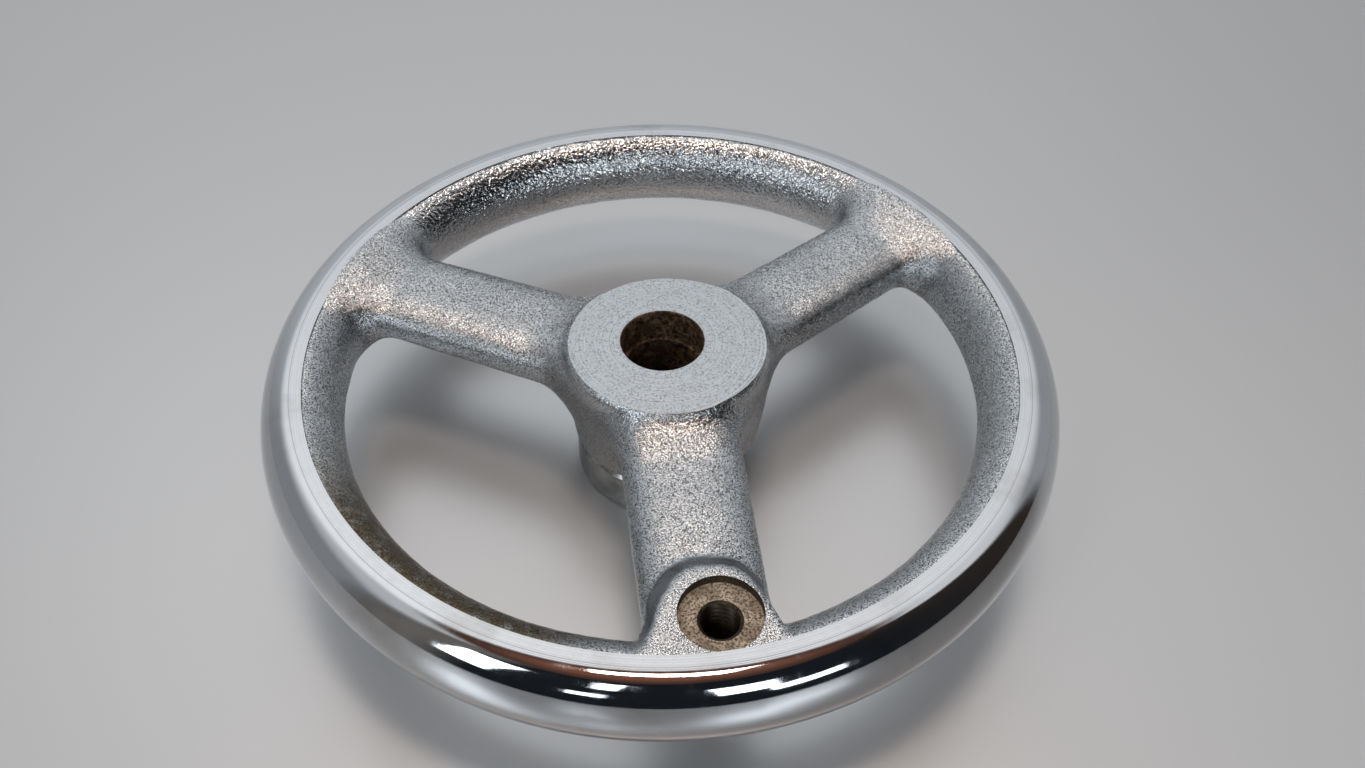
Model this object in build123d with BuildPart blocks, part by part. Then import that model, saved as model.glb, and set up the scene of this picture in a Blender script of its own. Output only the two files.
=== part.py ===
"""Cast three-spoke handwheel of a small winch, with its bore liner, bearing collar and grub screw.

Millimetres, +Z up. The origin is on the bore axis, at the foot of the bearing collar. -Y runs from the
bore to the tapped hole for the crank handle.
"""
from build123d import *
from math import acos, cos, degrees, radians, sin
import os

os.makedirs("parts", exist_ok=True)

# Driving dimensions of the wheel
WHEEL_R = 101.6
HUB_TOP = 42.3
SHAFT_R = 9.6

# The rough casting sits a little off the axis that the bore and the rim are machined about
CAST_X, CAST_Y = 1.2, -0.8

# Rim section, measured from the middle of the rim
RIM_Z = 29.8
RIM_HALF_HEIGHT = 11.15
RIM_OUTER_HALF = 9.1
CAST_CENTRE_R = 93.3
CAST_HALF_WIDTH = 11.6
CAST_HALF_HEIGHT = 11.5
TURNED_EDGE_R = 89.8

# Spokes: direction in degrees, width at the hub, width at the rim. The hand-made pattern left each one
# a little different.
SPOKES = [(-92.4, 30.6, 28.0), (29.8, 27.6, 25.8), (149.8, 30.0, 26.4)]
SPOKE_TOP = 38.4
SPOKE_BOTTOM = 25.6
SPOKE_EDGE_R = 5.9
RAMP_TOP = 41.4
RAMP_HEAD_R = 23.6
RAMP_FOOT_R = 37.0
WINDOW_OUTER_R = 83.0
WINDOW_HUB_FILLET = 7.5
WINDOW_RIM_FILLET = 9.0
WINDOW_BOSS_FILLET = 4.0

# Cast hub
HUB_R_TOP = 24.6
HUB_R_ROOT = 25.6
HUB_R_BOTTOM = 24.4
HUB_FOOT = 14.3
HUB_EDGE_R = 0.6

# Boss for the crank handle: the cast pad, then what is machined in it
BOSS_X, BOSS_Y = -1.6, -80.4
BOSS_R = 14.2
BOSS_FLARE = 19.5
PILLAR_R = 12.4
BOSS_BOTTOM = 22.6
PAD_TOP = 40.7
PAD_SLOPE = 34
HANDLE_Y = -80.6
SEAT_R = 9.4
SEAT_DEPTH = 2.9
THREAD_R = 4.37
THREAD_CHAMFER = 0.7

# Journal under the hub, with the groove of the retaining ring
LINER_WALL = 0.9
LINER_TOP = 33.2
LINER_CHAMFER = 0.3
JOURNAL_R = 17.0
JOURNAL_FOOT = 0.8
JOURNAL_CHAMFER = 0.6
GROOVE_R = 16.15
GROOVE_FOOT = 1.7
GROOVE_HEIGHT = 1.6

# Bearing collar, thrust washer and retaining ring
RUNNING_GAP = 0.06
END_GAP = 0.1
COLLAR_R = 23.1
COLLAR_TOP = 12.1
COLLAR_CHAMFER = 0.8
RECESS_R = 20.9
WASHER_R = 22.0
WASHER_BORE_R = 17.3
WASHER_CHAMFER = 0.2
RING_R = 19.6
RING_THICKNESS = 1.5
RING_GAP_WIDTH = 7.0
EAR_R = 2.1
EAR_HOLE_R = 0.9
EAR_CENTRE_R = 18.3
EAR_ANGLE = 17.0

# Grub screw, at the back of the hub
SCREW_Z = 20.5
SCREW_HOLE_R = 3.40
SCREW_R = 3.34
SCREW_TIP = 10.1
SCREW_LENGTH = 12.0
SCREW_CHAMFER = 0.7
SOCKET_ACROSS_FLATS = 4.0
SOCKET_DEPTH = 5.0
CUP_R = 1.6
CUP_DEPTH = 1.0
CUP_TAPER = 45
SCREW_PLANE = Plane(origin=(0, 0, SCREW_Z), x_dir=(1, 0, 0), z_dir=(0, 1, 0))

BORE_R = SHAFT_R + LINER_WALL

# How far a feature of the casting reaches into what it joins, and how closely edges are picked
OVERLAP = 1.0
TOLERANCE = 0.01


def spoke_plane(angle):
    """The upright plane through a spoke's centre line: local x outwards, local y up."""
    outwards = (cos(radians(angle)), sin(radians(angle)), 0)
    across = (sin(radians(angle)), -cos(radians(angle)), 0)
    return Plane(origin=(CAST_X, CAST_Y, 0), x_dir=outwards, z_dir=across)


def near_hub(vertex):
    """True for a window corner beside the hub."""
    return (vertex.X ** 2 + vertex.Y ** 2) ** 0.5 < WHEEL_R / 2


def near_boss(vertex):
    """True for a window corner beside the boss for the crank handle."""
    return ((vertex.X - BOSS_X) ** 2 + (vertex.Y - BOSS_Y) ** 2) ** 0.5 < 2 * BOSS_R


def near_rim(vertex):
    """True for a window corner beside the rim, away from the boss."""
    return not near_hub(vertex) and not near_boss(vertex)


def corner_at_hub(vertex):
    """True for a window corner on the hub's outline."""
    return abs(((vertex.X - CAST_X) ** 2 + (vertex.Y - CAST_Y) ** 2) ** 0.5 - HUB_R_ROOT) < TOLERANCE


def thread_mouth(edge):
    """True for the edge where the tapped hole opens into the handle seat."""
    if edge.geom_type != GeomType.CIRCLE or abs(edge.radius - THREAD_R) > TOLERANCE:
        return False
    return abs(edge.arc_center.Z - (PAD_TOP - SEAT_DEPTH)) < TOLERANCE


def ear_point(side):
    """The centre of one ear of the retaining ring, in plan."""
    return (side * EAR_CENTRE_R * sin(radians(EAR_ANGLE)), EAR_CENTRE_R * cos(radians(EAR_ANGLE)))


def window_wall(face):
    """True for the upright walls of the windows between the spokes."""
    middle = face.center()
    inside_rim = (middle.X ** 2 + middle.Y ** 2) ** 0.5 < TURNED_EDGE_R - TOLERANCE
    return abs(face.normal_at().Z) < TOLERANCE and inside_rim


def upright(edge):
    """True for the vertical corner lines of the windows."""
    return abs((edge @ 1).Z - (edge @ 0).Z) > (SPOKE_TOP - SPOKE_BOTTOM) / 2


# The wheel casting. Spokes first: a disc with three windows whose edges are rounded.
with BuildPart() as wheel_casting:
    with BuildSketch(Plane.XY.offset(SPOKE_BOTTOM)):
        Circle(TURNED_EDGE_R)
    extrude(amount=SPOKE_TOP - SPOKE_BOTTOM)
    with BuildSketch(Plane.XY.offset(SPOKE_BOTTOM)) as windows:
        Circle(WINDOW_OUTER_R)
        with Locations((CAST_X, CAST_Y)):
            Circle(HUB_R_ROOT, mode=Mode.SUBTRACT)
        with Locations((CAST_X, CAST_Y)):
            for angle, hub_width, rim_width in SPOKES:
                Polygon(
                    (0, -hub_width / 2), (WHEEL_R, -rim_width / 2),
                    (WHEEL_R, rim_width / 2), (0, hub_width / 2),
                    rotation=angle, align=None, mode=Mode.SUBTRACT,
                )
        fillet(windows.vertices().filter_by(near_rim), radius=WINDOW_RIM_FILLET)
        fillet(windows.vertices().filter_by(near_boss), radius=WINDOW_BOSS_FILLET)
        fillet(windows.vertices().filter_by(corner_at_hub), radius=WINDOW_HUB_FILLET)
    extrude(amount=HUB_TOP - SPOKE_BOTTOM, mode=Mode.SUBTRACT)
    window_edges = wheel_casting.faces().filter_by(window_wall).edges().filter_by(upright, reverse=True)
    fillet(window_edges, radius=SPOKE_EDGE_R)

    # Rim: the cast inner part, and the turned and polished outer part, which stands slightly proud
    with BuildSketch(Plane.XZ):
        with BuildLine():
            cast_start = degrees(acos((TURNED_EDGE_R - CAST_CENTRE_R) / CAST_HALF_WIDTH))
            outer = EllipticalCenterArc(
                (WHEEL_R - RIM_OUTER_HALF, RIM_Z), RIM_OUTER_HALF, RIM_HALF_HEIGHT,
                start_angle=-90, arc_size=180,
            )
            inner = EllipticalCenterArc(
                (CAST_CENTRE_R, RIM_Z), CAST_HALF_WIDTH, CAST_HALF_HEIGHT,
                start_angle=cast_start, arc_size=2 * (180 - cast_start),
            )
            Polyline(outer @ 1, (TURNED_EDGE_R, RIM_Z + RIM_HALF_HEIGHT), inner @ 0)
            Polyline(inner @ 1, (TURNED_EDGE_R, RIM_Z - RIM_HALF_HEIGHT), outer @ 0)
        make_face()
    revolve(axis=Axis.Z)

    # Cast hub, tapering towards its foot
    with BuildSketch(Plane.XY.offset(HUB_FOOT)):
        with Locations((CAST_X, CAST_Y)):
            Circle(HUB_R_BOTTOM)
    with BuildSketch(Plane.XY.offset(SPOKE_BOTTOM)):
        with Locations((CAST_X, CAST_Y)):
            Circle(HUB_R_ROOT)
    loft()
    with BuildSketch(Plane.XY.offset(SPOKE_BOTTOM)):
        with Locations((CAST_X, CAST_Y)):
            Circle(HUB_R_ROOT)
    with BuildSketch(Plane.XY.offset(HUB_TOP)):
        with Locations((CAST_X, CAST_Y)):
            Circle(HUB_R_TOP)
    loft()

    # Root ramps, from the hub face down to the crown of each spoke
    for angle, _, rim_width in SPOKES:
        with BuildSketch(spoke_plane(angle)):
            with BuildLine():
                ramp_head = (RAMP_HEAD_R, RAMP_TOP)
                ramp_foot = (RAMP_FOOT_R, SPOKE_TOP)
                ramp_root = SPOKE_BOTTOM + OVERLAP
                TangentArc(ramp_foot, ramp_head, tangent=(-1, 0))
                Polyline(ramp_head, (RAMP_HEAD_R, ramp_root), (RAMP_FOOT_R, ramp_root), ramp_foot)
            make_face()
        extrude(amount=rim_width / 2 - SPOKE_EDGE_R, both=True)

    # Boss: a pillar under the spoke and a raised pad with sloping sides that flares into the rim
    with BuildSketch(Plane.XY.offset(BOSS_BOTTOM)):
        with Locations((BOSS_X, BOSS_Y)):
            Circle(PILLAR_R)
    extrude(amount=SPOKE_TOP - BOSS_BOTTOM)
    with BuildSketch(Plane.XY.offset(SPOKE_TOP - OVERLAP)):
        with Locations((BOSS_X, BOSS_Y)):
            Circle(BOSS_R)
        with BuildLine():
            Line((BOSS_X - BOSS_FLARE, -TURNED_EDGE_R), (BOSS_X + BOSS_FLARE, -TURNED_EDGE_R))
        make_hull()
        Circle(TURNED_EDGE_R, mode=Mode.INTERSECT)
    extrude(amount=PAD_TOP - SPOKE_TOP + OVERLAP, taper=PAD_SLOPE)

    # Machined: hub face edge, journal with its groove, bore, handle seat and tapped hole
    with BuildSketch(Plane.XY.offset(JOURNAL_FOOT)):
        Circle(JOURNAL_R)
    extrude(amount=HUB_FOOT - JOURNAL_FOOT)
    chamfer(wheel_casting.edges().group_by(Axis.Z)[0], length=JOURNAL_CHAMFER)
    with BuildSketch(Plane.XY.offset(GROOVE_FOOT)):
        Circle(JOURNAL_R + OVERLAP)
        Circle(GROOVE_R, mode=Mode.SUBTRACT)
    extrude(amount=GROOVE_HEIGHT, mode=Mode.SUBTRACT)
    fillet(wheel_casting.edges().group_by(Axis.Z)[-1], radius=HUB_EDGE_R)
    with BuildSketch(Plane.XY):
        Circle(BORE_R)
    extrude(amount=HUB_TOP, mode=Mode.SUBTRACT)
    with BuildSketch(Plane.XY.offset(PAD_TOP - SEAT_DEPTH)):
        with Locations((0, HANDLE_Y)):
            Circle(SEAT_R)
    extrude(amount=HUB_TOP - PAD_TOP + SEAT_DEPTH, mode=Mode.SUBTRACT)
    with BuildSketch(Plane.XY.offset(BOSS_BOTTOM)):
        with Locations((0, HANDLE_Y)):
            Circle(THREAD_R)
    extrude(amount=PAD_TOP - BOSS_BOTTOM, mode=Mode.SUBTRACT)
    chamfer(wheel_casting.edges().filter_by(thread_mouth), length=THREAD_CHAMFER)
    with BuildSketch(SCREW_PLANE):
        Circle(SCREW_HOLE_R)
    extrude(amount=HUB_R_ROOT + OVERLAP, mode=Mode.SUBTRACT)

# The thin sleeve pressed into the bore from below, with a hole that lets the grub screw through
with BuildPart() as bore_liner:
    with BuildSketch(Plane.XY.offset(JOURNAL_FOOT)):
        Circle(BORE_R)
        Circle(SHAFT_R, mode=Mode.SUBTRACT)
    extrude(amount=LINER_TOP - JOURNAL_FOOT)
    with BuildSketch(SCREW_PLANE):
        Circle(SCREW_HOLE_R)
    extrude(amount=BORE_R + OVERLAP, mode=Mode.SUBTRACT)
    top_edges = bore_liner.edges().filter_by(GeomType.CIRCLE).group_by(Axis.Z)[-1]
    chamfer(top_edges.sort_by(lambda e: e.radius)[0], length=LINER_CHAMFER)

# The washer that takes the thrust between the cast hub and the collar
with BuildPart() as thrust_washer:
    with BuildSketch(Plane.XY.offset(COLLAR_TOP)):
        Circle(WASHER_R)
        Circle(WASHER_BORE_R, mode=Mode.SUBTRACT)
    extrude(amount=HUB_FOOT - END_GAP - COLLAR_TOP)
    chamfer(thrust_washer.edges(), length=WASHER_CHAMFER)

# The collar that the wheel turns in: a plain ring, recessed below for the retaining ring
with BuildPart() as bearing_collar:
    with BuildSketch(Plane.XY):
        Circle(COLLAR_R)
        Circle(JOURNAL_R + RUNNING_GAP, mode=Mode.SUBTRACT)
    extrude(amount=COLLAR_TOP)
    with BuildSketch(Plane.XY):
        Circle(RECESS_R)
    extrude(amount=GROOVE_FOOT + RING_THICKNESS + END_GAP * 2, mode=Mode.SUBTRACT)
    rims = bearing_collar.edges().filter_by(GeomType.CIRCLE)
    chamfer(rims.filter_by(lambda e: e.radius > COLLAR_R - TOLERANCE), length=COLLAR_CHAMFER)

# The open spring ring that keeps the collar on the journal; the pliers' holes are in its two ears
with BuildPart() as retaining_ring:
    with BuildSketch(Plane.XY.offset(GROOVE_FOOT + (GROOVE_HEIGHT - RING_THICKNESS) / 2)):
        Circle(RING_R)
        for side in (-1, 1):
            with Locations(ear_point(side)):
                Circle(EAR_R)
        Circle(GROOVE_R + END_GAP / 2, mode=Mode.SUBTRACT)
        with Locations((0, RING_R)):
            Rectangle(RING_GAP_WIDTH, 2 * JOURNAL_R - RING_R, mode=Mode.SUBTRACT)
        for side in (-1, 1):
            with Locations(ear_point(side)):
                Circle(EAR_HOLE_R, mode=Mode.SUBTRACT)
    extrude(amount=RING_THICKNESS)

# The grub screw, backed off so that its cup point is just clear of the bore
with BuildPart() as grub_screw:
    with BuildSketch(SCREW_PLANE.offset(SCREW_TIP)):
        Circle(SCREW_R)
    extrude(amount=SCREW_LENGTH)
    ends = grub_screw.edges().filter_by(GeomType.CIRCLE)
    chamfer(ends, length=SCREW_CHAMFER)
    with BuildSketch(SCREW_PLANE.offset(SCREW_TIP + SCREW_LENGTH)):
        RegularPolygon(SOCKET_ACROSS_FLATS / 2, 6, major_radius=False)
    extrude(amount=-SOCKET_DEPTH, mode=Mode.SUBTRACT)
    with BuildSketch(SCREW_PLANE.offset(SCREW_TIP)):
        Circle(CUP_R)
    extrude(amount=CUP_DEPTH, taper=CUP_TAPER, mode=Mode.SUBTRACT)

pieces = {
    "wheel_casting": wheel_casting,
    "bore_liner": bore_liner,
    "thrust_washer": thrust_washer,
    "bearing_collar": bearing_collar,
    "retaining_ring": retaining_ring,
    "grub_screw": grub_screw,
}
for name, piece in pieces.items():
    piece.part.label = name
    export_step(piece.part, f"parts/{name}.step")
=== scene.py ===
"""Looks of a plated cast handwheel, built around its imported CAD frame.

The casting gets a closer mesh than its CAD node: the rough skin comes from signed distances, and booleans
then machine it. The other pieces keep their CAD meshes. Sizes are in millimetres, up to build().
"""
import bpy
import math
import numpy as np
from mathutils import Matrix, Vector, noise


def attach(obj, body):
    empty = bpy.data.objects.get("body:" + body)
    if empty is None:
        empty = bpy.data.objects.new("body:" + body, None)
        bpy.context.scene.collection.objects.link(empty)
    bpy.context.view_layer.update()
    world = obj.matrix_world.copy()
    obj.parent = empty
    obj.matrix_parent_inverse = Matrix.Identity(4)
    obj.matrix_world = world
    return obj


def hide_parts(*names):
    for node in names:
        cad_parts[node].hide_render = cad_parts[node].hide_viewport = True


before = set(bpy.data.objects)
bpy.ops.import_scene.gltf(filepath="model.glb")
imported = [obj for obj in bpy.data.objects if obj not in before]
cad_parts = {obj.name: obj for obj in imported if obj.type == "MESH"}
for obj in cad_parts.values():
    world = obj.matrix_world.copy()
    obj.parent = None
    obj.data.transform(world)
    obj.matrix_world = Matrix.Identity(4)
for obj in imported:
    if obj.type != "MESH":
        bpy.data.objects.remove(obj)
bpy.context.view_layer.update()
MM = 0.001

# ---------------------------------------------------------------- sizes, in millimetres
WHEEL_R = 101.6
RIM_Z = 29.8
HUB_TOP = 42.3
HUB_FOOT = 14.3

# Turned rim: a nearly flat shoulder, then a polished round to the underside
BAND_R = 89.8
BAND_HALF_HEIGHT = 11.2
BAND_CROWN = 0.075
ROUND_R = 93.4
RIM_POWER = 1.95
ROUND_STEPS = 50
RIM_SEGMENTS = 448

# Rough casting: where the spokes meet, a little off the turned axis, and the inner half of the rim with its
# raised parting line
CAST_X, CAST_Y = 1.2, -0.8
CAST_RIM_R = 93.3
CAST_RIM_DROP = 0.7
CAST_RIM_HALF_WIDTH = 11.6
CAST_RIM_HALF_HEIGHT = 12.2
CAST_RIM_CUT_R = 91.5
PARTING_Z = 28.6
PARTING_HEIGHT = 0.40
PARTING_HALF_WIDTH = 0.8

# Spokes: direction in degrees, width at the hub, width at the rim
SPOKES = [(-92.4, 30.6, 28.0), (29.8, 27.6, 25.8), (149.8, 30.0, 26.4)]
SPOKE_Z = 31.85
SPOKE_HALF_HEIGHT = 6.45
SPOKE_POWER = 2.65
SPOKE_LENGTH = 88
RAMP_FOOT_R = 37.0
RAMP_LENGTH = 12.4
RAMP_HEIGHT = 3.5

# Cast hub: slightly oval, with its long axis turned clockwise from x, and its middle given along those axes
HUB_X, HUB_Y = 1.31, -0.61
HUB_HALF_X, HUB_HALF_Y = 26.4, 25.2
HUB_TURN = math.radians(8.9)
HUB_CAST_TOP = 42.8
HUB_CAST_FOOT = 12.5
HUB_EDGE_R = 2.8
HUB_TAPER_Z = 25.6
HUB_DRAFT_ABOVE, HUB_DRAFT_BELOW = 0.2, 1.3

# Boss for the crank handle: the pillar under the spoke, and the raised pad's top edge from its left foot
# round the back to its right foot
BOSS = (-1.3, -80.4)
PILLAR_R = 12.4
PILLAR_FOOT, PILLAR_TOP = 22.6, 38
PAD_TOP = 40.7
PAD_FOOT = 31
PAD_SLOPE_HEIGHT = 2.5
PAD_EDGE = [
    (-20.4, -90.6), (-15.2, -82.6), (-12.0, -75.7), (-6.7, -69.4), (-1.9, -68.3),
    (4.1, -69.5), (8.1, -73.4), (11.3, -81.2), (13.0, -86.1), (16.8, -90.8),
]
PAD_FRONT = (0, -94.0)
PAD_NEAR, PAD_FAR = 27, 30.0

# Fillets of the rough casting, and the round of its cut edge beside the turned rim
PILLAR_FILLET = 3.0
PAD_FILLET = 0.5
CUT_EDGE_R = 2.5

# Handle seat and its tapped hole, 3/8-16
HANDLE_Y = -80.6
SEAT_R = 9.4
SEAT_Z = 37.8
SEAT_CORNER = 0.25
THREAD_PITCH = 25.4 / 16
THREAD_CREST_R = 4.05
THREAD_ROOT_R = 4.76
THREAD_FOOT = 20
THREAD_FLANK = 1.15
THREAD_ROWS_PER_TURN = 10
MOUTH_R = 5.05
MOUTH_FOOT = 37.0
MOUTH_DEPTH = 0.75

# Journal with the groove of its retaining ring, bore, and hole of the grub screw
JOURNAL_R = 17.0
JOURNAL_FOOT = 0.8
JOURNAL_CHAMFER = 0.6
GROOVE_R = 16.15
GROOVE_FOOT, GROOVE_TOP = 1.7, 3.3
BORE_R = 10.5
BORE_CHAMFER = 0.3
SCREW_Z = 20.5
SCREW_HOLE_R = 3.40

# Low lumps that the sand mould left in the skin: height, and how closely they follow each other
LUMPS = [(0.10, 0.09), (0.07, 0.33), (0.06, 0.8)]

# Size of the cells of the cast skin's mesh, and the box that they fill
GRID = 0.88
CAST_LOW, CAST_HIGH = (-94, -94, 10), (94, 94, 47)

# Reach of the cutters past the metal, and the segments of the turned solids
ABOVE = 60
HUB_CUT_R = 40
RIM_CUT_R = 120
RIM_CUT_FOOT, RIM_CUT_TOP = 10, 50
FACE_SEGMENTS = 96
JOURNAL_SEGMENTS = 128
THREAD_SEGMENTS = 72
SCREW_SEGMENTS = 48


# ---------------------------------------------------------------- signed distances
def superellipse(x, z, half_x, half_z, power):
    """Signed distance, close to the outline, of a superellipse."""
    u = np.abs(x) / half_x + 1e-6
    v = np.abs(z) / half_z + 1e-6
    s = (u ** power + v ** power) ** (1 / power)
    slope = np.hypot(u ** (power - 1) / half_x, v ** (power - 1) / half_z) * s ** (1 - power)
    return (s - 1) / slope


def round_union(a, b, radius):
    """Union of two solids, with a fillet of that radius where they meet."""
    corner = np.hypot(np.maximum(radius - a, 0), np.maximum(radius - b, 0))
    return np.maximum(radius, np.minimum(a, b)) - corner


def smoothstep(value, low, high):
    """Rises from 0 to 1 between two values, level at both ends."""
    t = np.clip((value - low) / (high - low), 0, 1)
    return t * t * (3 - 2 * t)


def curve_value(t, before, start, end, after):
    """One coordinate of a smooth curve, a share t of the way from one of its points to the next."""
    slope = end - before
    bend = 2 * before - 5 * start + 4 * end - after
    twist = 3 * start - before - 3 * end + after
    return start + (slope * t + bend * t ** 2 + twist * t ** 3) / 2


def smooth_curve(points, parts):
    """Points along a smooth curve that passes through the given ones."""
    ends = [points[0]] + points + [points[-1]]
    along = []
    for knots in zip(ends, ends[1:], ends[2:], ends[3:]):
        for i in range(parts):
            along.append(tuple(curve_value(i / parts, *values) for values in zip(*knots)))
    return along + [points[-1]]


PAD_OUTLINE = smooth_curve(PAD_EDGE, 3) + [PAD_FRONT]


def spoke_distance(x, y, z, angle, hub_width, rim_width):
    """One spoke: a superelliptic bar whose top ramps up to the hub face."""
    c, s = math.cos(math.radians(angle)), math.sin(math.radians(angle))
    u = (x - CAST_X) * c + (y - CAST_Y) * s
    v = -(x - CAST_X) * s + (y - CAST_Y) * c
    half_width = (hub_width + (rim_width - hub_width) * u / WHEEL_R) / 2
    rise = np.clip((RAMP_FOOT_R - u) / RAMP_LENGTH, 0, 1.15) ** 2 * RAMP_HEIGHT
    half_height = SPOKE_HALF_HEIGHT + rise / 2
    d = superellipse(v, z - SPOKE_Z - rise / 2, half_width, half_height, SPOKE_POWER)
    return np.maximum(np.maximum(d, -u), u - SPOKE_LENGTH)


def arms_distance(x, y, z):
    """The nearest of the spokes."""
    distances = [spoke_distance(x, y, z, *spoke) for spoke in SPOKES]
    return np.minimum(np.minimum(distances[0], distances[1]), distances[2])


def hub_distance(x, y, z):
    """The cast hub: nearly straight below its rounded top edge, then tapered towards its foot."""
    c, s = math.cos(HUB_TURN), math.sin(HUB_TURN)
    hub_x = x * c - y * s - HUB_X
    hub_y = x * s + y * c - HUB_Y
    above = -HUB_DRAFT_ABOVE * (HUB_TOP - z) / (HUB_TOP - HUB_TAPER_Z)
    below = -HUB_DRAFT_ABOVE - HUB_DRAFT_BELOW * (HUB_TAPER_Z - z) / (HUB_TAPER_Z - HUB_FOOT)
    swell = np.where(z > HUB_TAPER_Z, above, below)
    side = superellipse(hub_x, hub_y, HUB_HALF_X + swell, HUB_HALF_Y + swell, 2.0)
    return np.maximum(-round_union(-side, HUB_CAST_TOP - z, HUB_EDGE_R), HUB_CAST_FOOT - z)


def rim_distance(x, y, z):
    """The cast inner half of the rim, with a raised parting line along its right side."""
    r = np.hypot(x, y)
    height = z - RIM_Z + CAST_RIM_DROP
    inner = superellipse(
        np.minimum(r - CAST_RIM_R, 0), height, CAST_RIM_HALF_WIDTH, CAST_RIM_HALF_HEIGHT, RIM_POWER
    )
    along = smoothstep(x, 62.0, 72.0) * smoothstep(-y, -46.0, -36.0) * (1 - smoothstep(-y, 12.0, 24.0))
    inner = inner - PARTING_HEIGHT * along * np.exp(-((z - PARTING_Z) / PARTING_HALF_WIDTH) ** 2)
    return np.maximum(inner, r - CAST_RIM_CUT_R)


def pad_plan(x, y):
    """Distance in plan from the outline of the raised pad, exact near the pad."""
    out = np.full(np.shape(x), PAD_FAR)
    near = np.hypot(x - BOSS[0], y - BOSS[1]) < PAD_NEAR
    px, py = x[near], y[near]
    best = np.full(px.shape, 1e9)
    inside = np.zeros(px.shape, bool)
    for (ax, ay), (bx, by) in zip(PAD_OUTLINE, PAD_OUTLINE[1:] + PAD_OUTLINE[:1]):
        ex, ey = bx - ax, by - ay
        t = np.clip(((px - ax) * ex + (py - ay) * ey) / (ex * ex + ey * ey), 0, 1)
        best = np.minimum(best, np.hypot(px - ax - t * ex, py - ay - t * ey))
        inside ^= ((ay > py) != (by > py)) & (px < ax + (py - ay) * ex / (ey if ey else 1e-9))
    out[near] = np.where(inside, -best, best)
    return out


def pad_lean(x, y):
    """How far the pad's side slopes out for each millimetre down: most behind, least on the right flank."""
    back = smoothstep(y, -79.0, -71.0)
    return 1.0 + 0.6 * back - 0.75 * smoothstep(x, 5.0, 10.0) * (1 - 0.4 * back)


def pad_distance(x, y, z):
    """The raised pad with its sloping side."""
    lean = pad_lean(x, y)
    side = pad_plan(x, y) - lean * np.minimum(PAD_TOP - z, PAD_SLOPE_HEIGHT)
    side = side / np.sqrt(1 + lean * lean)
    return np.maximum(side, np.maximum(z - PAD_TOP, PAD_FOOT - z))


def cast_distance(x, y, z):
    """The rough casting, without what is machined on it."""
    r = np.hypot(x, y)
    across = np.hypot(x - BOSS[0], y - BOSS[1])
    hub_fillet = 8.5 - 7.3 * smoothstep(z, 34.0, 41.0)
    rim_fillet = 3.5 + 5.5 * smoothstep(across, 20.0, 34.0)
    pillar = np.maximum(across - PILLAR_R, np.maximum(PILLAR_FOOT - z, z - PILLAR_TOP))
    d = round_union(hub_distance(x, y, z), arms_distance(x, y, z), hub_fillet)
    d = round_union(d, rim_distance(x, y, z), rim_fillet)
    d = round_union(d, pillar, PILLAR_FILLET)
    d = round_union(d, pad_distance(x, y, z), PAD_FILLET)
    return -round_union(-d, CAST_RIM_CUT_R - r, CUT_EDGE_R)


# ---------------------------------------------------------------- mesh from distances
def surface_mesh(distance, low, high, step):
    """Surface nets: a vertex in each cell that the surface passes, a quad for each grid edge it crosses."""
    axes = [np.arange(low[i], high[i] + step, step) for i in range(3)]
    counts = [len(a) for a in axes]
    f = np.empty(counts, np.float32)
    for i, x in enumerate(axes[0]):
        yy, zz = np.meshgrid(axes[1], axes[2], indexing="ij")
        f[i] = distance(np.full_like(yy, x), yy, zz)
    inside = f < 0
    cells = [n - 1 for n in counts]
    total = np.zeros(cells + [3], np.float32)
    hits = np.zeros(cells, np.float32)
    corners = [(i, j, k) for i in (0, 1) for j in (0, 1) for k in (0, 1)]

    def corner(field, offset):
        i, j, k = offset
        return field[i:i + cells[0], j:j + cells[1], k:k + cells[2]]

    for a in corners:
        for axis in range(3):
            if a[axis] == 1:
                continue
            b = tuple(1 if n == axis else a[n] for n in range(3))
            fa, fb = corner(f, a), corner(f, b)
            cross = corner(inside, a) != corner(inside, b)
            t = np.where(cross, fa / np.where(cross, fa - fb, 1), 0)
            hits += cross
            for n in range(3):
                total[..., n] += np.where(cross, t if n == axis else a[n], 0)
    used = hits > 0
    index = np.full(cells, -1, np.int64)
    index[used] = np.arange(used.sum())
    where = np.argwhere(used)
    verts = (where + total[used] / hits[used][:, None]) * step + np.array([a[0] for a in axes])
    quads = []
    for axis in range(3):
        one, two = [n for n in range(3) if n != axis]
        span = [slice(1, -1)] * 3
        span[axis] = slice(0, -1)
        ahead = [slice(1, -1)] * 3
        ahead[axis] = slice(1, None)
        a, b = inside[tuple(span)], inside[tuple(ahead)]
        cross = np.argwhere(a != b)
        cross[:, one] += 1
        cross[:, two] += 1
        starts_inside = inside[tuple(cross.T)]

        def cell(d_one, d_two):
            at = cross.copy()
            at[:, one] += d_one
            at[:, two] += d_two
            return index[tuple(at.T)]

        quad = np.stack([cell(-1, -1), cell(0, -1), cell(0, 0), cell(-1, 0)], 1)
        flip = starts_inside if axis != 1 else ~starts_inside
        quad[~flip] = quad[~flip][:, ::-1]
        quads.append(quad)
    return verts, np.concatenate(quads)


def gradient(distance, p, step=0.02):
    """Slope of a distance at each point."""
    rises = [distance(*(p + shift).T) - distance(*(p - shift).T) for shift in step * np.eye(3)]
    return np.stack(rises, 1) / (2 * step)


def settle(distance, p, rounds=4):
    """Moves points onto the surface."""
    for _ in range(rounds):
        g = gradient(distance, p)
        d = distance(*p.T)
        length = np.maximum((g ** 2).sum(1), 0.05)
        p = p - g * np.clip(d / length, -0.4, 0.4)[:, None]
    return p


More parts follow.
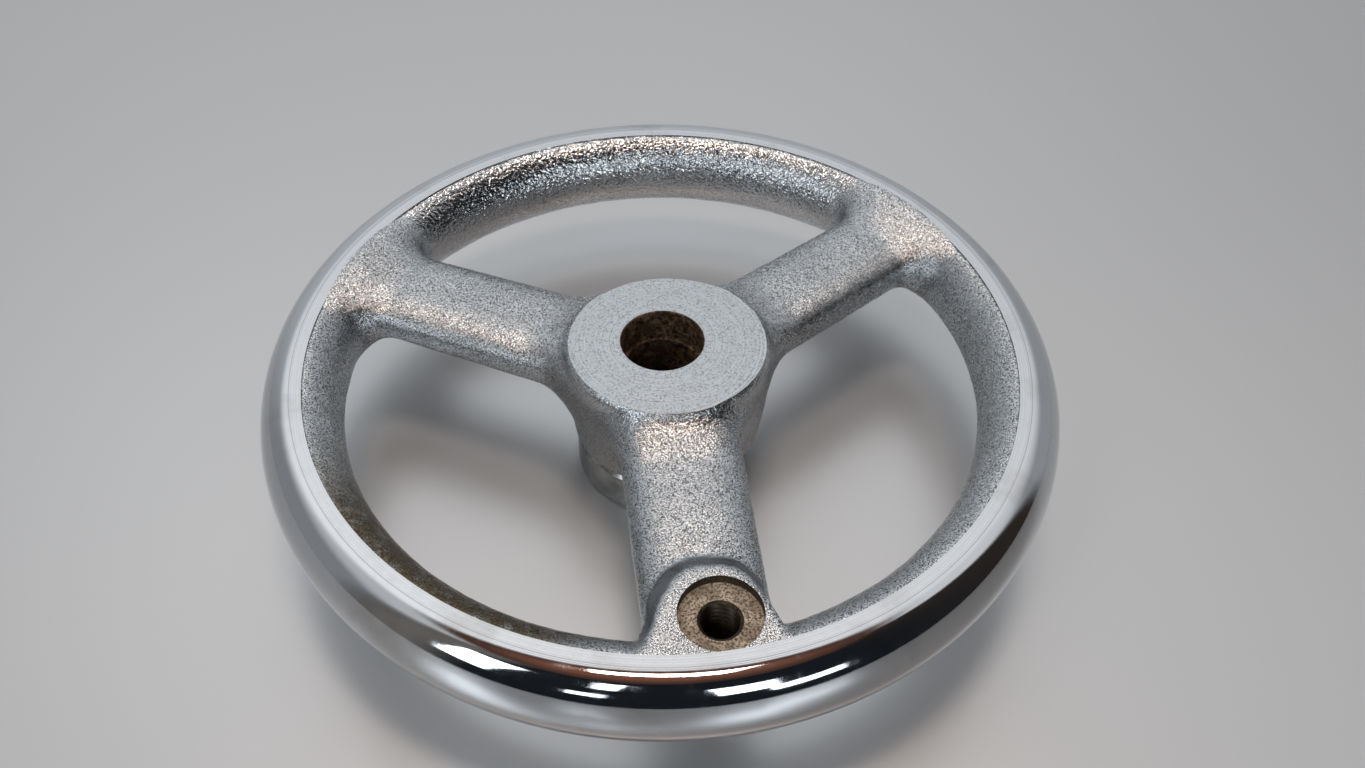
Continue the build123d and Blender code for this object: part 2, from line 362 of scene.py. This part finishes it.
def build(name, verts, faces):
    """An object from vertices in millimetres."""
    mesh = bpy.data.meshes.new(name)
    mesh.from_pydata((np.asarray(verts) * MM).tolist(), [], [list(map(int, q)) for q in faces])
    mesh.validate()
    mesh.update()
    mesh.shade_smooth()
    obj = bpy.data.objects.new(name, mesh)
    bpy.context.scene.collection.objects.link(obj)
    return obj


def turned(name, profile, segments, centre=(0, 0)):
    """A solid turned from a closed profile of (radius, z) that is off the axis, or only ends on it."""
    profile = list(profile)
    area = sum(a[0] * b[1] - b[0] * a[1] for a, b in zip(profile, profile[1:] + profile[:1]))
    if area < 0:
        profile.reverse()
    axis_ends = profile[0][0] == 0 and profile[-1][0] == 0
    ring = profile[1:-1] if axis_ends else profile
    turns = np.linspace(0, 2 * math.pi, segments, endpoint=False)
    verts = [(centre[0] + r * math.cos(t), centre[1] + r * math.sin(t), z) for t in turns for r, z in ring]
    n = len(ring)
    faces = []
    for i in range(segments):
        a, b = i * n, (i + 1) % segments * n
        for j in range(n - 1 if axis_ends else n):
            k = (j + 1) % n
            faces.append((a + j, b + j, b + k, a + k))
    if axis_ends:
        for end, at in ((profile[0], 0), (profile[-1], n - 1)):
            verts.append((centre[0], centre[1], end[1]))
            tip = len(verts) - 1
            for i in range(segments):
                a, b = i * n + at, (i + 1) % segments * n + at
                faces.append((tip, b, a) if at == 0 else (tip, a, b))
    return build(name, verts, faces)


def combine(target, tool, operation):
    """Boolean of two closed meshes. The tool is removed."""
    modifier = target.modifiers.new("cut", "BOOLEAN")
    modifier.operation = operation
    modifier.solver = "MANIFOLD"
    modifier.object = tool
    graph = bpy.context.evaluated_depsgraph_get()
    mesh = bpy.data.meshes.new_from_object(target.evaluated_get(graph))
    target.modifiers.clear()
    old = target.data
    target.data = mesh
    bpy.data.meshes.remove(old)
    used = tool.data
    bpy.data.objects.remove(tool)
    bpy.data.meshes.remove(used)


# ---------------------------------------------------------------- the casting
def rough_casting():
    """The cast skin, with the low lumps of its sand mould."""
    verts, quads = surface_mesh(cast_distance, CAST_LOW, CAST_HIGH, GRID)
    verts = settle(cast_distance, verts)
    normals = gradient(cast_distance, verts)
    normals /= np.linalg.norm(normals, axis=1)[:, None]
    lump = np.array([sum(height * noise.noise(Vector(p) * scale) for height, scale in LUMPS) for p in verts])
    return build("wheel_cast", verts + normals * lump[:, None], quads)


def rim_profile():
    """Section of the turned rim, with its back buried in the casting."""
    section = [(89.0, -8.6), (88.6, 0), (89.0, 8.6), (BAND_R, BAND_HALF_HEIGHT)]
    crown = [
        (r, BAND_HALF_HEIGHT + BAND_CROWN * math.sin((r - BAND_R) / (ROUND_R - BAND_R) * math.pi / 2))
        for r in (91.0, 92.2, ROUND_R)
    ]
    section += crown
    for step in range(1, ROUND_STEPS):
        t = math.pi / 2 - math.pi * step / ROUND_STEPS
        out = max(math.cos(t), 0) ** (2 / RIM_POWER)
        up = math.copysign(abs(math.sin(t)) ** (2 / RIM_POWER), math.sin(t))
        section.append((ROUND_R + (WHEEL_R - ROUND_R) * out, (BAND_HALF_HEIGHT + BAND_CROWN) * up))
    section += [(r, -z) for r, z in reversed(crown)]
    section.append((BAND_R, -BAND_HALF_HEIGHT))
    return [(r, RIM_Z + z) for r, z in section]


def thread_cutter(low, high, segments):
    """A solid threaded rod that cuts the handle's tapped hole: a helical skin between two flat ends."""
    rows = int((high - low) / THREAD_PITCH * THREAD_ROWS_PER_TURN)
    verts = []
    for j in range(rows + 1):
        z = low + (high - low) * j / rows
        for i in range(segments):
            t = 2 * math.pi * i / segments
            phase = (z / THREAD_PITCH - i / segments) % 1
            height = min(max(0.5 + THREAD_FLANK * (abs(phase - 0.5) * 4 - 1) / 2, 0), 1)
            r = THREAD_CREST_R + (THREAD_ROOT_R - THREAD_CREST_R) * height
            if z > high - 1.0:
                r = max(r, min(THREAD_ROOT_R, MOUTH_R - (high - z)))
            verts.append((r * math.cos(t), HANDLE_Y + r * math.sin(t), z))
    faces = []
    for j in range(rows):
        for i in range(segments):
            k = (i + 1) % segments
            a, b = j * segments, (j + 1) * segments
            faces.append((a + i, a + k, b + k, b + i))
    faces.append(tuple(reversed(range(segments))))
    faces.append(tuple(range(rows * segments, (rows + 1) * segments)))
    return build("thread", verts, faces)


def machine_rim(casting):
    """Swaps the rough outside of the rim for the turned one, and sinks the handle seat beside it."""
    outside = [
        (BAND_R, RIM_CUT_FOOT), (RIM_CUT_R, RIM_CUT_FOOT), (RIM_CUT_R, RIM_CUT_TOP), (BAND_R, RIM_CUT_TOP),
    ]
    seat = [
        (0, SEAT_Z), (SEAT_R - SEAT_CORNER, SEAT_Z), (SEAT_R, SEAT_Z + SEAT_CORNER),
        (SEAT_R, ABOVE), (0, ABOVE),
    ]
    rim = turned("rim", rim_profile(), RIM_SEGMENTS)
    combine(casting, turned("outside", outside, RIM_SEGMENTS), "DIFFERENCE")
    combine(casting, turned("seat", seat, FACE_SEGMENTS, (0, HANDLE_Y)), "DIFFERENCE")
    combine(casting, rim, "UNION")


def machine_hub(casting):
    """Faces both ends of the hub, adds the journal and bores it through."""
    top = [(0, HUB_TOP), (HUB_CUT_R, HUB_TOP), (HUB_CUT_R, ABOVE), (0, ABOVE)]
    foot = [(0, 5), (HUB_CUT_R, 5), (HUB_CUT_R, HUB_FOOT), (0, HUB_FOOT)]
    journal = [
        (0, JOURNAL_FOOT), (JOURNAL_R - JOURNAL_CHAMFER, JOURNAL_FOOT),
        (JOURNAL_R, JOURNAL_FOOT + JOURNAL_CHAMFER), (JOURNAL_R, GROOVE_FOOT),
        (GROOVE_R, GROOVE_FOOT), (GROOVE_R, GROOVE_TOP), (JOURNAL_R, GROOVE_TOP), (JOURNAL_R, 16), (0, 16),
    ]
    bore = [(0, -5)] + [(BORE_R, z) for z in np.linspace(-5, HUB_TOP - BORE_CHAMFER, 24)]
    bore += [(BORE_R + BORE_CHAMFER, HUB_TOP), (BORE_R + BORE_CHAMFER, ABOVE), (0, ABOVE)]
    combine(casting, turned("top", top, FACE_SEGMENTS), "DIFFERENCE")
    combine(casting, turned("foot", foot, FACE_SEGMENTS), "DIFFERENCE")
    combine(casting, turned("journal", journal, JOURNAL_SEGMENTS), "UNION")
    combine(casting, turned("bore", bore, JOURNAL_SEGMENTS), "DIFFERENCE")


def machine_holes(casting):
    """Taps the handle's hole, chamfers its mouth, and drills the hole of the grub screw."""
    mouth = [(0, MOUTH_FOOT), (4.3, MOUTH_FOOT), (MOUTH_R, MOUTH_FOOT + MOUTH_DEPTH), (5.1, 39), (0, 39)]
    drill = [(0, 8), (SCREW_HOLE_R, 8), (SCREW_HOLE_R, 32), (0, 32)]
    combine(casting, thread_cutter(THREAD_FOOT, SEAT_Z + 0.05, THREAD_SEGMENTS), "DIFFERENCE")
    combine(casting, turned("mouth", mouth, FACE_SEGMENTS, (0, HANDLE_Y)), "DIFFERENCE")
    screw_hole = turned("screw_hole", drill, SCREW_SEGMENTS)
    turn = Matrix.Rotation(-math.pi / 2, 4, "X")
    screw_hole.data.transform(Matrix.Translation((0, 0, SCREW_Z * MM)) @ turn)
    combine(casting, screw_hole, "DIFFERENCE")


casting = rough_casting()
machine_rim(casting)
machine_hub(casting)
machine_holes(casting)


# ---------------------------------------------------------------- finishes
class Graph:
    """A material's or a world's nodes, made with few words."""

    def __init__(self, tree, output_type):
        self.tree = tree
        tree.nodes.clear()
        self.output = tree.nodes.new(output_type)

    def add(self, kind, inputs=None, **settings):
        node = self.tree.nodes.new(kind)
        for key, value in settings.items():
            setattr(node, key, value)
        for key, value in (inputs or {}).items():
            self.set(node.inputs[key], value)
        return node

    def set(self, socket, value):
        if isinstance(value, bpy.types.NodeSocket):
            self.tree.links.new(value, socket)
        elif isinstance(value, bpy.types.Node):
            self.tree.links.new(value.outputs[0], socket)
        else:
            socket.default_value = value

    def math(self, operation, a, b=0.0, c=0.0):
        return self.add("ShaderNodeMath", {0: a, 1: b, 2: c}, operation=operation)

    def span(self, value, low, high, to_low=0.0, to_high=1.0):
        """Maps a range of values smoothly to another, with its ends held."""
        return self.add("ShaderNodeMapRange", {
            "Value": value, "From Min": low, "From Max": high, "To Min": to_low, "To Max": to_high,
        }, interpolation_type="SMOOTHSTEP")

    def mix(self, amount, a, b):
        node = self.add("ShaderNodeMix", data_type="RGBA")
        self.set(node.inputs["Factor"], amount)
        self.set(node.inputs["A"], a)
        self.set(node.inputs["B"], b)
        return node.outputs["Result"]

    def place(self):
        return self.add("ShaderNodeTexCoord").outputs["Object"]

    def noise(self, at, scale, detail=2.0, roughness=0.5, distortion=0.0):
        return self.add("ShaderNodeTexNoise", {
            "Vector": at, "Scale": scale, "Detail": detail, "Roughness": roughness, "Distortion": distortion,
        }).outputs["Fac"]

    def bump(self, height, strength, distance, below=None):
        node = self.add("ShaderNodeBump", {"Height": height, "Strength": strength, "Distance": distance})
        if below is not None:
            self.set(node.inputs["Normal"], below)
        return node


def grey(value, warm=0.0):
    """A grey, made a little redder and less blue by its warmth."""
    return (value * (1 + warm), value, value * (1 - warm), 1.0)


def finish_graph(name):
    """A new material and its empty graph."""
    material = bpy.data.materials.new(name)
    material.use_nodes = True
    graph = Graph(material.node_tree, "ShaderNodeOutputMaterial")
    return material, graph


def radius_of(g, at):
    """Distance from the bore's axis, in metres."""
    flat = g.add("ShaderNodeVectorMath", {0: at, 1: (1.0, 1.0, 0.0)}, operation="MULTIPLY")
    return g.add("ShaderNodeVectorMath", {0: flat}, operation="LENGTH").outputs["Value"]


def cast_finish():
    """Bright plating over sand-cast iron, glossier and softer on the inner wall of the rim, with painted
    shade on the pad's slope and low on the hub's side, and a brown stain that also paints a dark reflection.
    """
    material, g = finish_graph("plated_cast")
    at = g.place()
    skin = g.add("ShaderNodeAttribute", attribute_name="grain").outputs["Fac"]
    gloss = g.add("ShaderNodeAttribute", attribute_name="gloss").outputs["Fac"]
    stain_and_reflection = g.add("ShaderNodeAttribute", attribute_name="stain_and_reflection").outputs["Fac"]
    painted_hub_shade = g.add("ShaderNodeAttribute", attribute_name="painted_hub_shade").outputs["Fac"]
    grain = g.noise(at, 2700.0, 3.0, 0.60)
    fine = g.noise(at, 4200.0, 2.0, 0.6)
    coarse = g.noise(at, 420.0, 2.0, 0.55)
    peel = g.noise(at, 980.0, 2.0, 0.5)
    rough_height = g.math("MULTIPLY_ADD", fine, 0.35, g.math("MULTIPLY_ADD", coarse, 0.5, grain))
    height = g.mix(gloss, rough_height, peel)
    bump = g.bump(height, g.math("MULTIPLY", skin, g.span(gloss, 0.0, 1.0, 0.32, 0.86)), 0.00050)
    cloud = g.noise(at, 60.0, 3.0, 0.6)
    pits = g.span(g.math("MULTIPLY_ADD", fine, 0.6, grain), 0.72, 0.83, 1.0, 0.0)
    pits = g.math("MULTIPLY", g.math("MULTIPLY", pits, skin), g.span(gloss, 0.0, 1.0, 0.95, 0.60))
    colour = g.mix(g.span(cloud, 0.35, 0.7), (0.775, 0.80, 0.825, 1.0), (0.90, 0.925, 0.945, 1.0))
    colour = g.mix(pits, colour, grey(0.07, 0.04))
    # Painted shade: the lower side of the hub is darkened towards a dark grey.
    colour = g.mix(g.math("MULTIPLY", painted_hub_shade, 0.58), colour, grey(0.20, 0.02))
    # Painted shade: on the smooth slope round the pad, where the skin share falls, the base turns dark grey.
    colour = g.mix(skin, (0.21, 0.22, 0.225, 1.0), colour)
    # A brown stain on the front-left inner wall of the rim, which also paints the dark reflection of the
    # shaded floor there.
    brown = g.math("MULTIPLY", stain_and_reflection, g.span(g.noise(at, 330.0, 4.0, 0.65), 0.34, 0.54, 0.70, 1.0))
    rust = g.mix(g.span(grain, 0.4, 0.6), (0.05, 0.037, 0.02, 1.0), (0.23, 0.18, 0.11, 1.0))
    colour = g.mix(brown, colour, rust)
    rough = g.span(g.noise(at, 700.0, 2.0), 0.3, 0.7, 0.18, 0.30)
    rough = g.math("ADD", rough, g.math("MULTIPLY", gloss, -0.10))
    shader = g.add("ShaderNodeBsdfPrincipled", {
        "Base Color": colour, "Roughness": rough, "Normal": bump, "Metallic": 1.0,
    })
    g.set(g.output.inputs["Surface"], shader)
    return material


def rim_finish():
    """Turned satin shoulder that runs into polished chrome."""
    material, g = finish_graph("polished_rim")
    at = g.place()
    r = radius_of(g, at)
    ring = g.add("ShaderNodeCombineXYZ", {"X": r})
    lines = g.noise(ring, 2600.0, 3.0, 0.7)
    wide = g.noise(ring, 700.0, 2.0, 0.6)
    satin = g.span(r, 0.0926, 0.0942, 1.0, 0.0)
    bump = g.bump(g.math("MULTIPLY_ADD", wide, 1.2, lines), g.math("MULTIPLY", satin, 0.55), 0.00007)
    scuff = g.noise(at, 420.0, 3.0, 0.5)
    fine = g.bump(scuff, 0.06, 0.00010, bump)
    patch = g.span(g.noise(at, 45.0, 4.0, 0.6), 0.52, 0.70)
    haze = g.span(g.noise(at, 260.0, 3.0, 0.6), 0.4, 0.8, 0.05, 0.12)
    rough = g.math("ADD", g.math("MULTIPLY", satin, 0.17), haze)
    ridge = g.math("MULTIPLY", g.span(g.noise(ring, 1300.0, 2.0, 0.7), 0.48, 0.66), satin)
    colour = g.mix(patch, (0.74, 0.75, 0.77, 1.0), (0.62, 0.62, 0.62, 1.0))
    colour = g.mix(g.math("MULTIPLY", ridge, 0.60), colour, (0.36, 0.36, 0.37, 1.0))
    shader = g.add("ShaderNodeBsdfPrincipled", {
        "Base Color": colour, "Roughness": rough, "Normal": fine, "Metallic": 1.0,
    })
    g.set(g.output.inputs["Surface"], shader)
    return material


def faced_finish():
    """Faced and plated metal with fine turning marks about the bore."""
    material, g = finish_graph("faced_hub")
    at = g.place()
    ring = g.add("ShaderNodeCombineXYZ", {"X": radius_of(g, at)})
    lines = g.noise(ring, 2200.0, 3.0, 0.7)
    grain = g.noise(at, 2000.0, 3.0, 0.6)
    bump = g.bump(lines, 0.8, 0.00010, g.bump(grain, 0.5, 0.00010))
    dust = g.span(grain, 0.36, 0.5, 1.0, 0.0)
    ridge = g.span(lines, 0.35, 0.65)
    colour = g.mix(ridge, (0.52, 0.555, 0.58, 1.0), (0.76, 0.80, 0.84, 1.0))
    colour = g.mix(g.math("MULTIPLY", dust, 0.55), colour, grey(0.16))
    rough = g.span(g.noise(at, 500.0, 2.0), 0.3, 0.7, 0.34, 0.46)
    shader = g.add("ShaderNodeBsdfPrincipled", {
        "Base Color": colour, "Roughness": rough, "Normal": bump, "Metallic": 1.0,
    })
    g.set(g.output.inputs["Surface"], shader)
    return material


def rust_finish(name, dark, pale, metal, rough_low, rough_high, grain_scale, depth):
    """Bare iron with a film of rust or dirt. On the seat's wall its dark brown is painted shade instead."""
    material, g = finish_graph(name)
    at = g.place()
    cloud = g.noise(at, 260.0, 4.0, 0.62, 0.4)
    grain = g.noise(at, grain_scale, 3.0, 0.65)
    bump = g.bump(g.math("MULTIPLY_ADD", cloud, 0.6, grain), 1.0, depth)
    colour = g.mix(g.span(cloud, 0.36, 0.66), dark, pale)
    speck = tuple(channel * 0.2 for channel in dark[:3]) + (1.0,)
    colour = g.mix(g.span(grain, 0.38, 0.56, 0.95, 0.0), colour, speck)
    rough = g.span(grain, 0.3, 0.7, rough_low, rough_high)
    shader = g.add("ShaderNodeBsdfPrincipled", {
        "Base Color": colour, "Roughness": rough, "Normal": bump, "Metallic": metal,
    })
    g.set(g.output.inputs["Surface"], shader)
    return material


def smooth_plate(name, colour_low, colour_high, rough_low, rough_high, metal=1.0):
    """Machined steel with light wear."""
    material, g = finish_graph(name)
    at = g.place()
    turned_at = g.add("ShaderNodeVectorMath", {0: at, 1: (0.05, 0.05, 1.0)}, operation="MULTIPLY")
    lines = g.noise(turned_at, 2500.0, 2.0, 0.6)
    cloud = g.noise(at, 150.0, 4.0, 0.6)
    bump = g.bump(lines, 0.12, 0.00005)
    shader = g.add("ShaderNodeBsdfPrincipled", {
        "Base Color": g.mix(g.span(cloud, 0.35, 0.65), colour_low, colour_high),
        "Roughness": g.span(cloud, 0.3, 0.7, rough_low, rough_high), "Normal": bump, "Metallic": metal,
    })
    g.set(g.output.inputs["Surface"], shader)
    return material


CAST = cast_finish()
RIM = rim_finish()
FACED = faced_finish()
BORE = rust_finish(
    "bore_rust", dark=(0.10, 0.05, 0.022, 1.0), pale=(0.30, 0.19, 0.11, 1.0), metal=0.35,
    rough_low=0.45, rough_high=0.75, grain_scale=900.0, depth=0.00015,
)
SEAT = rust_finish(
    "seat_rust", dark=(0.52, 0.41, 0.29, 1.0), pale=(0.97, 0.80, 0.62, 1.0), metal=0.25,
    rough_low=0.5, rough_high=0.75, grain_scale=1900.0, depth=0.0003,
)
# Bare tapped iron, made near-black as painted shade of the deep hole.
THREAD = smooth_plate(
    "thread_steel", (0.045, 0.036, 0.024, 1.0), (0.075, 0.058, 0.038, 1.0),
    rough_low=0.36, rough_high=0.44, metal=0.9,
)
# Painted shade: the seat's wall and the mouth's chamfer get a near-black brown for the shadow inside the
# seat's rim.
SEAT_WALL = rust_finish(
    "seat_wall_painted_shade", dark=(0.05, 0.035, 0.02, 1.0), pale=(0.13, 0.095, 0.06, 1.0), metal=0.3,
    rough_low=0.5, rough_high=0.8, grain_scale=1500.0, depth=0.0001,
)
PLATE = smooth_plate(
    "plated_steel", (0.24, 0.24, 0.235, 1.0), (0.42, 0.42, 0.415, 1.0), rough_low=0.16, rough_high=0.30,
)
SPRING = smooth_plate(
    "spring_steel", (0.05, 0.05, 0.055, 1.0), (0.09, 0.09, 0.095, 1.0), rough_low=0.35, rough_high=0.5,
)
SCREW = smooth_plate(
    "screw_steel", (0.04, 0.04, 0.042, 1.0), (0.08, 0.08, 0.085, 1.0), rough_low=0.30, rough_high=0.5,
)
WASHER = smooth_plate(
    "washer", (0.020, 0.020, 0.021, 1.0), (0.035, 0.035, 0.036, 1.0),
    rough_low=0.5, rough_high=0.65, metal=0.0,
)

# The casting's own finishes, and the number of each on its faces
CASTING_FINISHES = (CAST, RIM, FACED, BORE, SEAT, THREAD, PLATE, SEAT_WALL)
ON_SKIN, ON_RIM, ON_FACE, IN_BORE, ON_SEAT, IN_THREAD, PLATED, ON_SEAT_WALL = range(len(CASTING_FINISHES))
casting.data.materials.clear()
for material in CASTING_FINISHES:
    casting.data.materials.append(material)


def paint_casting(mesh):
    """Gives each face of the casting the finish of the surface it lies on, and sharpens machined edges."""
    count = len(mesh.polygons)
    centre = np.empty(count * 3)
    normal = np.empty(count * 3)
    mesh.polygons.foreach_get("center", centre)
    mesh.polygons.foreach_get("normal", normal)
    x, y, z = centre.reshape(-1, 3).T / MM
    nz = normal.reshape(-1, 3)[:, 2]
    r = np.hypot(x, y)
    seat = np.hypot(x, y - HANDLE_Y)
    in_seat = (seat < SEAT_R + 0.06) & (z > SEAT_Z - 0.1) & (z < 42) & (r < BAND_R)
    kind = np.full(count, ON_SKIN, np.int32)
    kind[r > BAND_R - 0.01] = ON_RIM
    kind[(abs(z - HUB_TOP) < 0.02) & (nz > 0.9) & (r < 30)] = ON_FACE
    kind[(r < BORE_R + 0.35) & (z < HUB_TOP - 0.01)] = IN_BORE
    kind[in_seat] = ON_SEAT
    # The seat's wall and the mouth's chamfer take the seat-wall finish, whose dark brown is painted shade.
    kind[in_seat & (z > SEAT_Z + 0.02) & (nz < 0.5)] = ON_SEAT_WALL
    kind[(seat < MOUTH_R + 0.03) & (z < SEAT_Z - 0.04)] = ON_SEAT_WALL
    kind[(seat < THREAD_ROOT_R + 0.09) & (z < MOUTH_FOOT - 0.05)] = IN_THREAD
    kind[(r < JOURNAL_R + 0.2) & (r > BORE_R + 0.4) & (z < HUB_FOOT + 0.02)] = PLATED
    kind[(np.hypot(x, z - SCREW_Z) < SCREW_HOLE_R + 0.05) & (y > 8) & (y < 28)] = PLATED
    mesh.polygons.foreach_set("material_index", kind)
    mesh.shade_smooth()
    mesh.set_sharp_from_angle(angle=math.radians(38))
    edge_kind = {}
    sharp = mesh.attributes["sharp_edge"].data
    for polygon in mesh.polygons:
        for key in polygon.edge_keys:
            if key in edge_kind and edge_kind[key] != kind[polygon.index]:
                edge_kind[key] = -1
            edge_kind.setdefault(key, kind[polygon.index])
    for edge in mesh.edges:
        if edge_kind.get(edge.key) == -1:
            sharp[edge.index].value = True


def mark_skin(mesh):
    """Stores how the cast skin varies: smooth round the pad, where the finish paints shade, glossy inside
    the rim, browned in places by a stain that also paints a dark reflection, and painted shade low on the
    hub.
    """
    count = len(mesh.vertices)
    at = np.empty(count * 3)
    mesh.vertices.foreach_get("co", at)
    x, y, z = at.reshape(-1, 3).T / MM
    r = np.hypot(x, y)
    bearing = np.degrees(np.arctan2(y, x))
    plan = pad_plan(x, y)
    foot = 2.4 * pad_lean(x, y)
    # The pad's slope: smooth, and given a painted dark grey as shade in the finish.
    slope = smoothstep(plan, 0.1, 0.4) * (1 - smoothstep(plan - foot, -0.1, 0.5)) * smoothstep(z, 36.6, 37.4)
    slope *= smoothstep(y, -88.5, -80.5)
    wall = smoothstep(r, 78.0, 82.0) * smoothstep(arms_distance(x, y, z), 0.5, 12.0)
    gloss = wall * smoothstep(bearing, 25.0, 45.0) * (1 - smoothstep(bearing, 150.0, 175.0))
    hub_edge = (1 - smoothstep(r, 28.0, 34.0)) * smoothstep(-y, -2.0, 8.0) * smoothstep(z, 33.0, 37.0)
    gloss = np.maximum(gloss, 0.75 * hub_edge)
    # Front-left inner wall: a real stain, and also a painted dark reflection of the shaded floor.
    brown = wall * smoothstep(-bearing, 105.0, 118.0) * (1 - smoothstep(-bearing, 150.0, 172.0))
    # Painted shade: marks the hub's side below the spokes for darkening in the finish.
    hub_side = (1 - smoothstep(z, 34.0, 39.5)) * (1 - smoothstep(r, 27.0, 33.0))
    for name, value in (("grain", 1 - slope), ("gloss", gloss), ("stain_and_reflection", brown), ("painted_hub_shade", hub_side)):
        mesh.attributes.new(name, "FLOAT", "POINT").data.foreach_set("value", value)


paint_casting(casting.data)
mark_skin(casting.data)
casting.name = "handwheel_casting"
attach(casting, "wheel")
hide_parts("wheel_casting")

for node, material in {
    "bore_liner": BORE, "thrust_washer": WASHER, "bearing_collar": PLATE,
    "retaining_ring": SPRING, "grub_screw": SCREW,
}.items():
    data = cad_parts[node].data
    data.materials.clear()
    data.materials.append(material)


# ---------------------------------------------------------------- floor, light and camera
def floor_finish():
    """A pale sheet with a soft sheen."""
    material, g = finish_graph("pale_floor")
    shader = g.add("ShaderNodeBsdfPrincipled", {
        "Base Color": (0.725, 0.732, 0.74, 1.0), "Roughness": 0.35, "Metallic": 0.60,
    })
    g.set(g.output.inputs["Surface"], shader)
    return material


bpy.ops.mesh.primitive_plane_add(size=12, location=(0, 0, 0))
floor = bpy.context.object
floor.name = "floor"
floor.data.materials.append(floor_finish())


def studio_world():
    """Soft surroundings: a pale wall behind, a dim room in front."""
    world = bpy.data.worlds.new("studio")
    bpy.context.scene.world = world
    world.use_nodes = True
    g = Graph(world.node_tree, "ShaderNodeOutputWorld")
    way = g.add("ShaderNodeTexCoord").outputs["Generated"]
    x, y, z = g.add("ShaderNodeSeparateXYZ", {0: way}).outputs
    bearing = g.math("ARCTAN2", x, y)
    deg = math.pi / 180
    left = g.span(bearing, -106 * deg, -88 * deg)
    right = g.span(bearing, 80 * deg, 90 * deg, 1.0, 0.0)
    wall = g.math("MULTIPLY", left, right)
    low = g.span(z, 0.88, 0.93, 1.0, 0.0)
    wall = g.math("MULTIPLY", wall, low)
    side = g.math("MULTIPLY", g.span(bearing, -128 * deg, -110 * deg), g.math("SUBTRACT", 1.0, left))
    above = g.mix(g.span(z, 0.93, 0.995), (0.08, 0.04, 0.03, 1.0), (0.20, 0.08, 0.048, 1.0))
    right_side = g.span(bearing, 85 * deg, 140 * deg, 1.0, 0.0)
    right_side = g.math("MULTIPLY", right_side, g.span(bearing, 0.0, 20 * deg))
    front = g.mix(right_side, (0.010, 0.012, 0.015, 1.0), (0.028, 0.022, 0.019, 1.0))
    colour = g.mix(low, above, front)
    pale = g.mix(g.span(z, 0.50, 0.80), (0.45, 0.475, 0.50, 1.0), (1.04, 1.06, 1.08, 1.0))
    wall = g.math("MULTIPLY", wall, g.span(bearing, 10 * deg, 55 * deg, 1.0, 0.64))
    wall = g.math("MULTIPLY", wall, g.span(bearing, -60 * deg, -15 * deg, 0.50, 1.0))
    colour = g.mix(wall, colour, pale)
    colour = g.mix(g.math("MULTIPLY", side, low), colour, (0.15, 0.14, 0.13, 1.0))
    shader = g.add("ShaderNodeBackground", {"Color": colour, "Strength": 1.0})
    g.set(g.output.inputs["Surface"], shader)


studio_world()


DAY = (0.88, 0.95, 1.0)
LAMP = (1.0, 0.86, 0.75)
WINDOW_DISTANCE = 2.0
WINDOW_AIM = Vector((0, 0, 0.03))


def window(name, bearing, height, width, tall, power, colour):
    """A soft panel light at a bearing and a height in degrees, facing the object, sized in degrees."""
    data = bpy.data.lights.new(name, "AREA")
    data.shape = "RECTANGLE"
    data.size = 2 * WINDOW_DISTANCE * math.tan(math.radians(width / 2))
    data.size_y = 2 * WINDOW_DISTANCE * math.tan(math.radians(tall / 2))
    data.energy = power * data.size * data.size_y * math.pi
    data.color = colour
    obj = bpy.data.objects.new(name, data)
    b, h = math.radians(bearing), math.radians(height)
    place = Vector((math.sin(b) * math.cos(h), math.cos(b) * math.cos(h), math.sin(h)))
    obj.location = place * WINDOW_DISTANCE + WINDOW_AIM
    obj.rotation_euler = (-place).to_track_quat("-Z", "Y").to_euler()
    bpy.context.scene.collection.objects.link(obj)


window("window_left", bearing=-125, height=34, width=12, tall=32, power=3.4, colour=DAY)
window("window_mid_high", bearing=-157, height=46, width=5, tall=17, power=3.5, colour=DAY)
window("window_mid_low", bearing=-154, height=21, width=8, tall=7, power=3.5, colour=DAY)
window("window_right_high", bearing=169, height=31, width=13, tall=18, power=3.5, colour=DAY)
window("window_right_low", bearing=156, height=19, width=16, tall=10, power=3.5, colour=DAY)
window("ceiling_lamp", bearing=18, height=86, width=15, tall=11, power=13.0, colour=LAMP)

camera_data = bpy.data.cameras.new("camera")
camera_data.sensor_width = 36
camera_data.lens = 32.161
camera_data.clip_start = 0.01
camera = bpy.data.objects.new("camera", camera_data)
camera.location = (-0.03394, -0.21674, 0.26102)
camera.rotation_euler = [math.radians(angle) for angle in (43.027, -0.774, -9.464)]
bpy.context.scene.collection.objects.link(camera)
bpy.context.scene.camera = camera
bpy.context.scene.view_settings.view_transform = "Standard"
